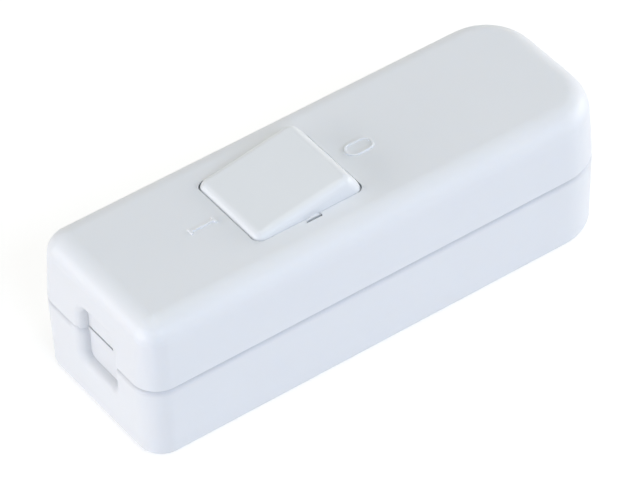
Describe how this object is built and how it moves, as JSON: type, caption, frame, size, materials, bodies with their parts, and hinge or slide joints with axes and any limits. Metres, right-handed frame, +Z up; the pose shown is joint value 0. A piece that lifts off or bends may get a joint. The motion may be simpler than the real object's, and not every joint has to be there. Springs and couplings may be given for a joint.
{
  "type": "inline cord switch",
  "caption": "White plastic inline switch for a mains cord: a long two-part housing with a rocker marked I and O and a cord mouth at each end.",
  "frame": {"origin": "on the base face, under the middle of the housing", "axes": "+X along the housing from the I end to the O end, +Y across it to the rear side, +Z up through the rocker"},
  "size_m": [0.085, 0.0294, 0.0285],
  "materials": {
    "shell_plastic": "semi-gloss white",
    "rocker_plastic": "semi-gloss white",
    "acetal": "natural acetal",
    "steel": "zinc plated",
    "copper": "rolled copper alloy",
    "brass": "machined brass",
    "contact_silver": "silver alloy"
  },
  "bodies": {
    "housing": {"upper_shell": "shell_plastic", "lower_shell": "shell_plastic", "terminal_screws": "steel", "earth_screws": "steel", "housing_screws": "steel", "earth_terminal": "brass", "line_fulcrum_strip": "brass", "line_contact_strip": "brass", "line_fixed_rivet": "contact_silver", "line_in_terminal": "brass", "line_out_terminal": "brass", "neutral_fulcrum_strip": "brass", "neutral_contact_strip": "brass", "neutral_fixed_rivet": "contact_silver", "neutral_in_terminal": "brass", "neutral_out_terminal": "brass"},
    "rocker": {"rocker": "rocker_plastic", "line_plunger_spring": "steel", "neutral_plunger_spring": "steel"},
    "line_plunger": {"line_plunger": "acetal"},
    "line_blade": {"line_contact_blade": "copper", "line_moving_rivet": "contact_silver"},
    "neutral_plunger": {"neutral_plunger": "acetal"},
    "neutral_blade": {"neutral_contact_blade": "copper", "neutral_moving_rivet": "contact_silver"}
  },
  "joints": [
    {"name": "rocker_tilt", "type": "hinge", "parent": "housing", "child": "rocker", "pos_m": [-0.0087, 0, 0.02122], "axis": [0, 1, 0], "range_deg": [0, 18]},
    {"name": "line_plunger_slide", "type": "slide", "parent": "rocker", "child": "line_plunger", "axis": [-0.1564, 0, 0.9877], "range_m": [0, 0.0008], "stiffness_N_per_m": 100, "springref_m": -0.003, "deforming": ["line_plunger_spring"]},
    {"name": "line_blade_rock", "type": "hinge", "parent": "housing", "child": "line_blade", "pos_m": [-0.0087, 0.0046, 0.00984], "axis": [0, 1, 0], "range_deg": [-16, 0]},
    {"name": "neutral_plunger_slide", "type": "slide", "parent": "rocker", "child": "neutral_plunger", "axis": [-0.1564, 0, 0.9877], "range_m": [0, 0.0008], "stiffness_N_per_m": 100, "springref_m": -0.003, "deforming": ["neutral_plunger_spring"]},
    {"name": "neutral_blade_rock", "type": "hinge", "parent": "housing", "child": "neutral_blade", "pos_m": [-0.0087, -0.0046, 0.00984], "axis": [0, 1, 0], "range_deg": [-16, 0]}
  ],
  "couplings": [
    {"joint": "line_blade_rock", "follows": "rocker_tilt", "ratio": -0.8888},
    {"joint": "neutral_blade_rock", "follows": "rocker_tilt", "ratio": -0.8888}
  ]
}
